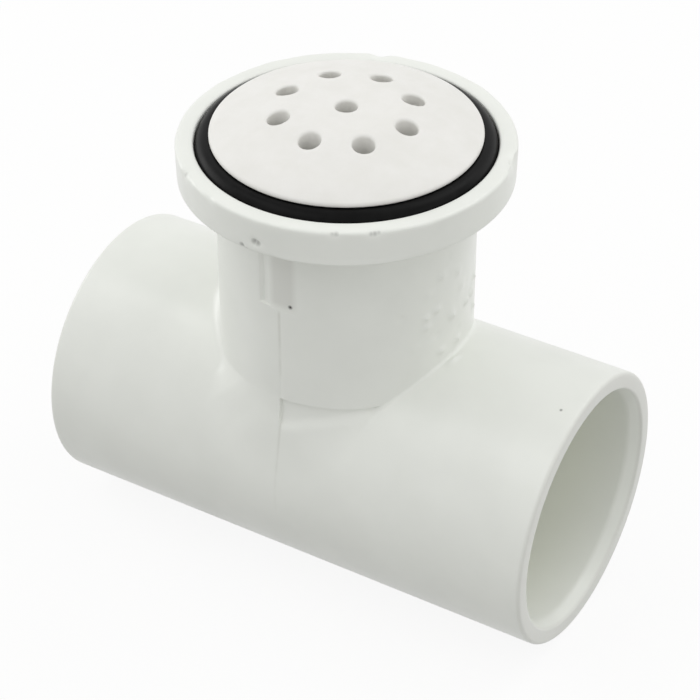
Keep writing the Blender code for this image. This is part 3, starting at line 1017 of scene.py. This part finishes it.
@dataclass
class PerforatedCap:
    """The screw-in cap: a low dome with nine air holes, its edge, its neck and its hollow stem.

    Heights in the fields are counted down from the crown.
    """

    hole_radius: float = 1.55
    hole_rounding: float = 0.45
    hole_ring: float = 9.47
    hole_count: int = 8
    flat_radius: float = 7.2
    bend_radius: float = 7.8
    slope: float = math.radians(16.6)
    wall: float = 3.4
    droop: float = 0.5
    droop_start: float = 16.6
    droop_bend: float = 12.0
    edge_rounding: float = 0.58
    lower_rounding: float = 0.22
    height: float = 4.26
    neck_radius: float = 17.4
    neck_length: float = 3.3
    stem_crest: float = 15.5
    stem_root: float = 14.4
    stem_bore: float = 12.5
    stem_chamfer: float = 0.6
    centre_reach: float = 4.5
    sector_reach: float = 14.4
    ceiling_reach: float = 12.0
    lip: float = 0.15
    columns: int = 192
    centre_columns: int = 64
    side_columns: int = 12
    top_rows: int = 8
    rounding_rows: int = 6
    wall_rows: int = 4
    ceiling_rows: int = 5
    radius: float = field(init=False)
    crown: float = field(init=False)
    stem_end: float = field(init=False)

    def __post_init__(self) -> None:
        """Read the frame's sizes."""
        low, high = corners("injector_cap")
        self.radius = high[0]
        self.crown = high[2]
        self.stem_end = low[2]

    def drop(self, radius: np.ndarray) -> np.ndarray:
        """How far the dome lies under its crown at a distance from the axis."""
        bend_end = self.flat_radius + self.bend_radius * math.sin(self.slope)
        bent = np.clip(radius, self.flat_radius, bend_end) - self.flat_radius
        straight = np.maximum(radius - bend_end, 0) * math.tan(self.slope)
        return self.bend_radius - np.sqrt(self.bend_radius**2 - bent**2) + straight

    def hole_rows(self, start: np.ndarray, centre: np.ndarray,
                  outer: Sequence[np.ndarray]) -> list[np.ndarray]:
        """Rows from the dome's top into a hole, down its wall and out along the ceiling.

        Args:
            start: Directions from the hole's centre, one for each column.
            centre: The hole's centre in plan.
            outer: The outer rows in plan, of the top and of the ceiling.

        Returns:
            The rows of points.
        """
        rows = []
        swell, wall = self.hole_rounding, self.wall
        edge = centre + (self.hole_radius + swell) * start
        for share in np.linspace(1, 0, self.top_rows + 1):
            rows.append((edge + (outer[0] - edge) * share, 0.0))
        for turn in np.linspace(0, math.pi / 2, self.rounding_rows + 1)[1:]:
            rows.append((centre + (self.hole_radius + swell * (1 - math.sin(turn))) * start,
                         swell * (1 - math.cos(turn))))
        for depth in np.linspace(swell, wall - self.lip, self.wall_rows + 1)[1:]:
            rows.append((centre + self.hole_radius * start, depth))
        lip = centre + (self.hole_radius + self.lip) * start
        for share in np.linspace(0, 1, self.ceiling_rows + 1):
            rows.append((lip + (outer[1] - lip) * share, wall))
        made = []
        for plan, depth in rows:
            level = self.crown - self.drop(np.hypot(plan[:, 0], plan[:, 1])) - depth
            made.append(np.column_stack((plan, level)))
        return made

    def sector(self) -> bpy.types.Object:
        """One part of the dome with its hole, from the middle disc to the rim."""
        half = math.pi / self.hole_count
        side = np.linspace(0, 1, self.side_columns + 1)[:-1]
        fan_in = np.linspace(half, -half, self.centre_columns // self.hole_count + 1)[:-1]
        fan_out = np.linspace(-half, half, self.columns // self.hole_count + 1)[:-1]
        centre = np.array((self.hole_ring, 0.0))
        outlines = []
        for reach in (self.sector_reach, self.ceiling_reach):
            out = self.centre_reach + (reach - self.centre_reach) * side
            back = reach + (self.centre_reach - reach) * side
            radii = np.concatenate((out, reach + 0 * fan_out, back, self.centre_reach + 0 * fan_in))
            turns = np.concatenate((-half + 0 * out, fan_out, half + 0 * back, fan_in))
            outlines.append(np.stack((radii * np.cos(turns), radii * np.sin(turns)), axis=1))
        toward = outlines[0] - centre
        toward = toward / np.hypot(toward[:, 0], toward[:, 1])[:, None]
        skin = Skin()
        skin.sheet(self.hole_rows(toward, centre, outlines))
        return skin.made("dome_sector")

    def perforated(self, material: bpy.types.Material) -> bpy.types.Object:
        """The dome's ring of holes: the sector repeated round the axis."""
        form = NodeForm("perforations", {"Count": self.hole_count, "Weld": 0.004 * MM})
        given = form.given
        spots = form.node("GeometryNodePoints", {"Count": given["Count"]})
        step = form.node("ShaderNodeMath", {0: 2 * math.pi, 1: given["Count"]}, operation="DIVIDE")
        number = form.node("GeometryNodeInputIndex")
        turn = form.node("ShaderNodeMath", {0: number, 1: step}, operation="MULTIPLY")
        rotation = form.node("ShaderNodeCombineXYZ", {"Z": turn})
        copies = form.node(
            "GeometryNodeInstanceOnPoints",
            {"Points": spots, "Instance": given["Geometry"], "Rotation": rotation},
        )
        real = form.node("GeometryNodeRealizeInstances", {"Geometry": copies})
        welded = form.node("GeometryNodeMergeByDistance", {"Geometry": real, "Distance": given["Weld"]})
        return form.applied(self.sector(), welded, material)

    def turned(self, profile: Sequence[tuple[float, float]], columns: int) -> list[np.ndarray]:
        """Rows round the axis from a profile of (radius, height)."""
        turn = np.arange(columns) * 2 * math.pi / columns
        return [np.stack((r * np.cos(turn), r * np.sin(turn), z + 0 * turn), axis=1) for r, z in profile]

    def rim_profile(self) -> list[tuple[float, float]]:
        """The profile from the dome's slope round the edge, down neck and stem and up the hollow."""
        under = self.crown - self.height
        slope_start = self.crown - float(self.drop(np.array(self.sector_reach)))
        droop_level = self.crown - float(self.drop(np.array(self.droop_start)))
        slope_end = self.crown - float(self.drop(np.array(self.radius))) - self.droop
        neck_end = under - self.neck_length
        ceiling = self.crown - self.wall - float(self.drop(np.array(self.stem_bore)))
        ceiling_start = self.crown - self.wall - float(self.drop(np.array(self.ceiling_reach)))
        stem_rows = filled((neck_end - 0.3, self.stem_end + self.stem_chamfer), 0.3)
        outer = rounded([
            (self.sector_reach, slope_start, 0),
            (self.droop_start, droop_level, self.droop_bend),
            (self.radius, slope_end, self.edge_rounding),
            (self.radius, under, self.lower_rounding),
            (self.neck_radius, under, 0.15),
            (self.neck_radius, neck_end, 0.25),
            (self.stem_root, neck_end, 0.25),
            (self.stem_root, stem_rows[0], 0),
        ], 5)
        end = self.stem_end
        inner = rounded([
            (self.stem_root - self.stem_chamfer, end, 0),
            (self.stem_bore, end, 0.3),
            (self.stem_bore, ceiling, 0.3),
            (self.ceiling_reach, ceiling_start, 0),
        ])
        return spaced(outer, 0.5) + [(self.stem_root, z) for z in stem_rows[1:]] + spaced(inner, 1.0)

    def build(self) -> bpy.types.Object:
        """Make the cap, cut its thread and hand it to the frame."""
        material = MattPlastic().material()
        skin = Skin()
        skin.take(self.perforated(material))
        turn = np.arange(self.centre_columns) * 2 * math.pi / self.centre_columns
        turn += math.pi / self.hole_count
        start = np.stack((np.cos(turn), np.sin(turn)), axis=1)
        outer = self.centre_reach * start
        skin.sheet(self.hole_rows(start, np.zeros(2), (outer, outer)))
        skin.sheet(self.turned(self.rim_profile(), self.columns))
        item = skin.made("perforated_cap")
        item.data.shade_smooth()
        item.data.set_sharp_from_angle(angle=SHARP_ANGLE)
        thread = Thread(
            radius=self.stem_root,
            rise=self.stem_crest - self.stem_root,
            low=self.stem_end + self.stem_chamfer,
            high=self.crown - self.height - self.neck_length - 0.6,
            start=0.0,
        )
        thread.cut_on(item, material)
        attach(item, Body.CAP.value)
        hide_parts("injector_cap")
        return item


@dataclass(frozen=True)
class Pattern:
    """Noise in a piece's own space.

    Attributes:
        width: How wide its patches are.
        detail: How many finer layers it has.
        roughness: How strong they are.
    """

    width: float
    detail: float = 2.0
    roughness: float = 0.5

    def values(self, place: bpy.types.NodeSocket) -> dict:
        """The values of a noise node at a place."""
        scale = 1 / (self.width * MM)
        return {"Vector": place, "Scale": scale, "Detail": self.detail, "Roughness": self.roughness}


class Finish(NodeWork):
    """A material in the making, with the steps that every finish shares."""

    def __init__(self, name: str, index: float) -> None:
        """Start a material.

        Args:
            name: Its name.
            index: Its refractive index.
        """
        self.made = bpy.data.materials.new(name)
        self.made.use_nodes = True
        self.tree = self.made.node_tree
        self.shader = self.tree.nodes["Principled BSDF"]
        self.shader.inputs["IOR"].default_value = index
        self.place = add_node(self.tree, "ShaderNodeTexCoord").outputs["Object"]

    def patches(self, pattern: Pattern, start: float, end: float,
                low: float = 0.0, high: float = 1.0) -> bpy.types.NodeSocket:
        """A pattern spread over a range.

        Args:
            pattern: The pattern.
            start: The noise that becomes the lowest value.
            end: The noise that becomes the highest value.
            low: The lowest value.
            high: The highest value.

        Returns:
            The value at each place.
        """
        noise = self.node("ShaderNodeTexNoise", pattern.values(self.place))
        limits = {"From Min": start, "From Max": end, "To Min": low, "To Max": high}
        return self.node("ShaderNodeMapRange", {"Value": noise, **limits})

    def within(self, limits: Sequence[tuple[bpy.types.NodeSocket, float, float]]) -> bpy.types.NodeSocket:
        """Where every value is past its limit, with a soft edge.

        Args:
            limits: A value, where it starts to count, and where it counts in full.

        Returns:
            The share, from nought to one.
        """
        share: bpy.types.NodeSocket | float = 1.0
        for value, start, full in limits:
            limit = {"From Min": start * MM, "From Max": full * MM}
            part = self.node("ShaderNodeMapRange", {"Value": value, **limit})
            share = self.node("ShaderNodeMath", {0: share, 1: part}, operation="MULTIPLY")
        return share

    def finished(self, base: str, layers: Sequence[tuple[bpy.types.NodeSocket, str]],
                 roughness: bpy.types.NodeSocket, grain: Pattern, depth: float,
                 strength: float = 0.5) -> bpy.types.Material:
        """Give the material its colour, roughness and grain.

        Args:
            base: The colour under all layers.
            layers: The share and colour of each layer.
            roughness: The roughness.
            grain: The pattern of the grain.
            depth: The height of the grain in millimetres.
            strength: How much of it shows.

        Returns:
            The material.
        """
        colour: bpy.types.NodeSocket | tuple[float, float, float, float] = linear(base)
        for share, shade in layers:
            mix = {0: share, 6: colour, 7: linear(shade)}
            colour = add_node(self.tree, "ShaderNodeMix", mix, data_type="RGBA").outputs[2]
        height = self.node("ShaderNodeTexNoise", grain.values(self.place))
        bump = self.node("ShaderNodeBump", {"Strength": strength, "Distance": depth * MM, "Height": height})
        for name, value in (("Base Color", colour), ("Roughness", roughness), ("Normal", bump)):
            self.tree.links.new(value, self.shader.inputs[name])
        return self.made


@dataclass(frozen=True)
class Speck:
    """A small dark fleck in the moulding.

    Attributes:
        place: Its middle, in the frame.
        size: Its radius.
        strength: How dark it is, from nought to one.
    """

    place: tuple[float, float, float]
    size: float
    strength: float


@dataclass(frozen=True)
class MouldedPvc:
    """Rigid PVC, injection moulded.

    To the eye it is a satin white with a trace of green. The melt leaves cloudy patches about 9 mm
    wide that are barely darker, flow marks make the gloss slightly uneven, and the skin has a
    faint orange peel. Dirt stays in the parting line. A greyer colour over the tool's insert mark is
    painted shade, standing in for the shading of the mark's face that turns from the light.
    The sockets are a trace yellower inside, and the run's end faces are drawn darker: painted shade for
    faces turned from the light.
    """

    colour: str = "#EEF0EA"
    cloud: str = "#EBEDE7"
    # painted shade: the greyer colour laid over the insert's mark, for its face that turns from the light
    insert_shade: str = "#DFE0DA"
    bore: str = "#EEF0E6"
    # painted shade: the darker colour of the run's end faces
    rim: str = "#E1E2DC"
    dirt: str = "#BDBCB2"
    fleck: str = "#2B2823"
    gloss: tuple[float, float] = (0.285, 0.35)
    clouds: Pattern = Pattern(9.0, 3.0)
    flow: Pattern = Pattern(9.0, 3.0)
    dirt_patches: Pattern = Pattern(7.0)
    peel: Pattern = Pattern(0.9, 2.0, 0.45)
    peel_depth: float = 0.012
    index: float = 1.53
    parting_width: float = 0.34
    parting_share: float = 0.42
    # where the painted shade over the insert's mark lies
    insert_shade_limits: tuple[tuple[str, float, float], ...] = (
        ("X", -1.5, -0.5), ("X", 3.1, 2.1), ("Y", -17.0, -17.4), ("Z", 52.2, 53.6), ("Z", 64.6, 64.3),
    )
    fleck_core: float = 0.2
    seed: int = 3

    def specks(self) -> list[Speck]:
        """The dark flecks: those that the photo shows, and a few seeded ones."""
        found = [
            Speck(around(-83.9, 32.7, BRANCH_RADIUS - 0.1), 0.42, 1.0),
            Speck((36.95, -4.67, AXIS_LEVEL + 20.06), 0.30, 0.7),
        ]
        rim = ((-90.1, 45.95, 0.15, 0.6, 0.55), (-88.9, 45.85, 0.15, 0.6, 0.5),
               (-95.1, 44.65, 0.15, 0.55, 0.55), (-93.0, 44.4, 0.1, 0.4, 0.25),
               (-63.3, 49.3, 0.2, 0.45, 0.22), (-62.3, 49.3, 0.2, 0.5, 0.3),
               (-51.0, 49.2, 0.2, 0.45, 0.3), (-49.8, 49.2, 0.2, 0.5, 0.38),
               (-48.7, 49.3, 0.2, 0.4, 0.25), (-126.9, 49.2, 0.3, 0.5, 0.25), (17.0, 49.3, 0.3, 0.8, 0.15))
        for turn, height, inset, size, strength in rim:
            found.append(Speck(around(turn, height, FLANGE_RADIUS - inset), size, strength))
        chance = random.Random(self.seed)
        for _ in range(6):
            found.append(Speck(around(chance.uniform(40, 200), chance.uniform(22, 42)), 0.2, 0.5))
        for _ in range(5):
            turn, along = chance.uniform(0.5, 2.8), chance.uniform(-36, 36)
            level = AXIS_LEVEL * (1 + math.cos(turn))
            found.append(Speck((along, AXIS_LEVEL * math.sin(turn), level), 0.2, 0.5))
        return found

    def fleck_share(self, finish: Finish) -> bpy.types.NodeSocket:
        """How much of each spot is fleck, from nought to one."""
        share: bpy.types.NodeSocket | float = 0.0
        for speck in self.specks():
            ends = {0: finish.place, 1: tuple(c * MM for c in speck.place)}
            away = add_node(finish.tree, "ShaderNodeVectorMath", ends, operation="DISTANCE")
            size = speck.size * MM
            limits = {"From Min": size, "From Max": self.fleck_core * size, "To Max": speck.strength}
            near = finish.node("ShaderNodeMapRange", {"Value": away.outputs["Value"], **limits})
            share = finish.node("ShaderNodeMath", {0: share, 1: near}, operation="MAXIMUM")
        return share

    def parting_share_at(self, finish: Finish, split: bpy.types.NodeOutputs, level: bpy.types.NodeSocket,
                         from_run: bpy.types.NodeSocket) -> bpy.types.NodeSocket:
        """How much dirt lies in the parting line, on the outside of branch and run.

        Args:
            finish: The material in the making.
            split: The place's X, Y and Z.
            level: The height above the run's axis.
            from_run: The distance from the run's axis.

        Returns:
            The share, from nought to one.
        """
        aside = finish.node("ShaderNodeMath", {0: split["X"], 1: PARTING * MM}, operation="SUBTRACT")
        away = finish.node("ShaderNodeMath", {0: aside}, operation="ABSOLUTE")
        upright = finish.node("ShaderNodeCombineXYZ", {"X": split["X"], "Y": split["Y"]})
        reach = add_node(finish.tree, "ShaderNodeVectorMath", {0: upright}, operation="LENGTH")
        from_branch = reach.outputs["Value"]
        on_run = finish.within((
            (away, self.parting_width, -0.2), (from_run, AXIS_LEVEL - 0.5, AXIS_LEVEL - 0.3),
            (level, 0.75 * AXIS_LEVEL, 0.7 * AXIS_LEVEL), (level, -5.0, 7.0),
        ))
        on_branch = finish.within((
            (away, self.parting_width, 0.08), (from_branch, BRANCH_RADIUS - 0.8, BRANCH_RADIUS - 0.6),
            (level, 19.5, 22.0), (level, 31.8, 31.0),
        ))
        outside = finish.node("ShaderNodeMath", {0: on_run, 1: on_branch}, operation="MAXIMUM")
        patchy = finish.patches(self.dirt_patches, 0.36, 0.58, 0.0, self.parting_share)
        return finish.node("ShaderNodeMath", {0: outside, 1: patchy}, operation="MULTIPLY")

    def material(self) -> bpy.types.Material:
        """Make the finish."""
        finish = Finish("rigid_pvc_injection_moulded", self.index)
        split = add_node(finish.tree, "ShaderNodeSeparateXYZ", {0: finish.place}).outputs
        level = finish.node("ShaderNodeMath", {0: split["Z"], 1: AXIS_LEVEL * MM}, operation="SUBTRACT")
        lying = finish.node("ShaderNodeCombineXYZ", {"Y": split["Y"], "Z": level})
        reach = add_node(finish.tree, "ShaderNodeVectorMath", {0: lying}, operation="LENGTH")
        from_run = reach.outputs["Value"]
        along = finish.node("ShaderNodeMath", {0: split["X"]}, operation="ABSOLUTE")
        # painted shade over the insert's mark
        insert_shade = finish.within([(split[axis], start, full) for axis, start, full in self.insert_shade_limits])
        layers = (
            (finish.patches(self.clouds, 0.38, 0.66), self.cloud),
            (finish.within(((from_run, 18.3, 17.6), (along, 37.5, 30.0))), self.bore),
            # painted shade on the run's end faces
            (finish.within(((along, 39.2, 39.6),)), self.rim),
            (insert_shade, self.insert_shade),
            (self.parting_share_at(finish, split, level, from_run), self.dirt),
            (self.fleck_share(finish), self.fleck),
        )
        gloss = finish.patches(self.flow, 0.3, 0.7, *self.gloss)
        return finish.finished(self.colour, layers, gloss, self.peel, self.peel_depth)


@dataclass(frozen=True)
class MattPlastic:
    """ABS, injection moulded in a finely blasted tool.

    To the eye it is a warm white without a clear reflection. The blasted grain is about 0.1 mm,
    too fine to show here, so it is drawn 0.4 mm wide.
    """

    colour: str = "#ECEBE7"
    cloud: str = "#E8E7E2"
    roughness: tuple[float, float] = (0.5, 0.62)
    clouds: Pattern = Pattern(4.0, 5.0, 0.6)
    grain: Pattern = Pattern(0.4, 3.0, 0.6)
    grain_depth: float = 0.014
    grain_strength: float = 0.6
    index: float = 1.53

    def material(self) -> bpy.types.Material:
        """Make the finish."""
        finish = Finish("abs_moulded_matt", self.index)
        layers = ((finish.patches(self.clouds, 0.36, 0.66), self.cloud),)
        rough = finish.patches(self.grain, 0.3, 0.7, *self.roughness)
        grain = (self.grain, self.grain_depth, self.grain_strength)
        return finish.finished(self.colour, layers, rough, *grain)


@dataclass(frozen=True)
class SatinRubber:
    """Nitrile rubber, compression moulded.

    To the eye it is near black with one soft, slightly broken streak of light along its crown. Its
    skin has a fine grain, and a trace of grey bloom lies in patches a few millimetres long.
    """

    colour: str = "#050505"
    bloom: str = "#0D0D0D"
    roughness: tuple[float, float] = (0.3, 0.42)
    patches: Pattern = Pattern(3.0, 4.0, 0.6)
    grain: Pattern = Pattern(0.5)
    grain_depth: float = 0.012
    index: float = 1.52
    specular: float = 0.08

    def material(self) -> bpy.types.Material:
        """Make the finish."""
        finish = Finish("nitrile_rubber_moulded", self.index)
        finish.shader.inputs["Specular IOR Level"].default_value = self.specular
        layers = ((finish.patches(self.patches, 0.4, 0.7), self.bloom),)
        rough = finish.patches(self.patches, 0.3, 0.7, *self.roughness)
        return finish.finished(self.colour, layers, rough, self.grain, self.grain_depth)


@dataclass(frozen=True)
class Lamp:
    """A soft round lamp that faces the object.

    Attributes:
        name: Its name.
        bearing: The angle from the camera round the object, in degrees.
        height: The angle above the floor, in degrees.
        power: Its power in watts.
        size: How wide it is, in metres.
    """

    name: str
    bearing: float
    height: float
    power: float
    size: float = 0.45


@dataclass
class Studio:
    """A pale floor, soft light and the camera at the photograph's angle."""

    azimuth: float = math.radians(31.124)
    elevation: float = math.radians(36.755)
    roll: float = math.radians(-0.167)
    distance: float = 352.99
    target: tuple[float, float, float] = (-0.337, 1.326, 32.776)
    lens: float = 123.68
    sensor: float = 36.0
    floor_size: float = 3000.0
    floor_white: str = "#F4F4F2"
    floor_bounce: str = "#B1B1AF"
    floor_glow: float = 0.9
    floor_roughness: float = 0.9
    sky: float = 0.647
    lamp_distance: float = 0.75
    lamp_level: float = 35.0
    lamps: tuple[Lamp, ...] = (
        Lamp("front_low", 0, 20, 0.13),
        Lamp("right_low", 60, 20, 0.38),
        Lamp("back_right_low", 120, 20, 0.39),
        Lamp("back_left_low", 240, 20, 1.10),
        Lamp("left_low", 300, 20, 0.10),
        Lamp("right_high", 60, 55, 0.16),
        Lamp("back_right_high", 120, 55, 0.83),
        Lamp("left_high", 300, 55, 0.56),
        Lamp("left_streak", 258, 57, 0.20, 0.16),
    )

    def direction(self, bearing: float, height: float) -> Vector:
        """The direction from the object to a place round it.

        Args:
            bearing: The angle from the camera's side, in radians.
            height: The angle above the floor, in radians.

        Returns:
            The direction, one long.
        """
        turn = self.azimuth + bearing
        level = math.cos(height)
        return Vector((math.sin(turn) * level, -math.cos(turn) * level, math.sin(height)))

    def camera(self) -> None:
        """Set up the camera."""
        back = self.direction(0, self.elevation)
        across = Vector((0, 0, 1)).cross(back).normalized()
        up = back.cross(across)
        cosine, sine = math.cos(self.roll), math.sin(self.roll)
        right = cosine * across + sine * up
        upright = cosine * up - sine * across
        place = (Vector(self.target) + self.distance * back) * MM
        lens = bpy.data.cameras.new("camera")
        lens.lens = self.lens
        lens.sensor_width = self.sensor
        lens.sensor_fit = "HORIZONTAL"
        lens.clip_start = 0.01
        item = bpy.data.objects.new("camera", lens)
        turned = Matrix((right, upright, back)).transposed().to_4x4()
        item.matrix_world = Matrix.Translation(place) @ turned
        bpy.context.scene.collection.objects.link(item)
        bpy.context.scene.camera = item

    def seen(self, tree: bpy.types.NodeTree) -> bpy.types.NodeSocket:
        """One where the camera looks, directly or by way of gloss or glass, and nought elsewhere."""
        path = add_node(tree, "ShaderNodeLightPath").outputs
        mirrored = add_node(
            tree, "ShaderNodeMath", {0: path["Is Glossy Ray"], 1: path["Is Transmission Ray"]},
            operation="MAXIMUM",
        ).outputs[0]
        return add_node(
            tree, "ShaderNodeMath", {0: path["Is Camera Ray"], 1: mirrored}, operation="MAXIMUM"
        ).outputs[0]

    def floor(self) -> None:
        """Lay the floor: white to the eye, and a plain light grey in the light that it gives back."""
        skin = Skin()
        half = self.floor_size / 2
        corner_rows = [np.array(((-half, y, 0.0), (half, y, 0.0))) for y in (-half, half)]
        skin.sheet(corner_rows, closed=False)
        item = skin.made("floor")
        material = bpy.data.materials.new("pale_floor")
        material.use_nodes = True
        tree = material.node_tree
        shader = tree.nodes["Principled BSDF"]
        shader.inputs["Roughness"].default_value = self.floor_roughness
        seen = self.seen(tree)
        shade = add_node(
            tree, "ShaderNodeMix",
            {0: seen, 6: linear(self.floor_bounce), 7: linear(self.floor_white)}, data_type="RGBA",
        ).outputs[2]
        tree.links.new(shade, shader.inputs["Base Color"])
        glow = add_node(tree, "ShaderNodeEmission", {"Strength": 1.0}).outputs[0]
        part = add_node(tree, "ShaderNodeMath", {0: seen, 1: self.floor_glow}, operation="MULTIPLY")
        mixed = add_node(tree, "ShaderNodeMixShader", {0: part.outputs[0], 1: shader.outputs[0], 2: glow})
        tree.links.new(mixed.outputs[0], tree.nodes["Material Output"].inputs["Surface"])
        item.data.materials.append(material)

    def light(self) -> None:
        """Set up the world and the lamps."""
        world = bpy.data.worlds.new("studio")
        bpy.context.scene.world = world
        world.use_nodes = True
        tree = world.node_tree
        plain = tree.nodes["Background"]
        plain.inputs["Strength"].default_value = self.sky
        plain.inputs["Color"].default_value = linear("#FFFFFF")
        white = add_node(tree, "ShaderNodeBackground", {"Color": linear("#FFFFFF"), "Strength": 1.0})
        mixed = add_node(
            tree, "ShaderNodeMixShader", {0: self.seen(tree), 1: plain.outputs[0], 2: white.outputs[0]}
        )
        tree.links.new(mixed.outputs[0], tree.nodes["World Output"].inputs["Surface"])
        middle = Vector((0, 0, self.lamp_level * MM))
        for lamp in self.lamps:
            light = bpy.data.lights.new(lamp.name, "AREA")
            light.shape = "DISK"
            light.size = lamp.size
            light.energy = lamp.power
            item = bpy.data.objects.new(lamp.name, light)
            toward = self.direction(math.radians(lamp.bearing), math.radians(lamp.height))
            item.location = middle + self.lamp_distance * toward
            item.rotation_euler = toward.to_track_quat("Z", "Y").to_euler()
            bpy.context.scene.collection.objects.link(item)

    def build(self) -> None:
        """Set up floor, light and camera."""
        self.floor()
        self.light()
        self.camera()


def main() -> None:
    """Build the three pieces and the studio round them."""
    logging.basicConfig(level=logging.INFO, format="%(message)s")
    bpy.context.scene.view_settings.view_transform = "Standard"
    for part in (TeeBody(), RubberRing(), PerforatedCap()):
        item = part.build()
        LOG.info("%s: %d faces", item.name, len(item.data.polygons))
    Studio().build()


if __name__ == "__main__":
    main()
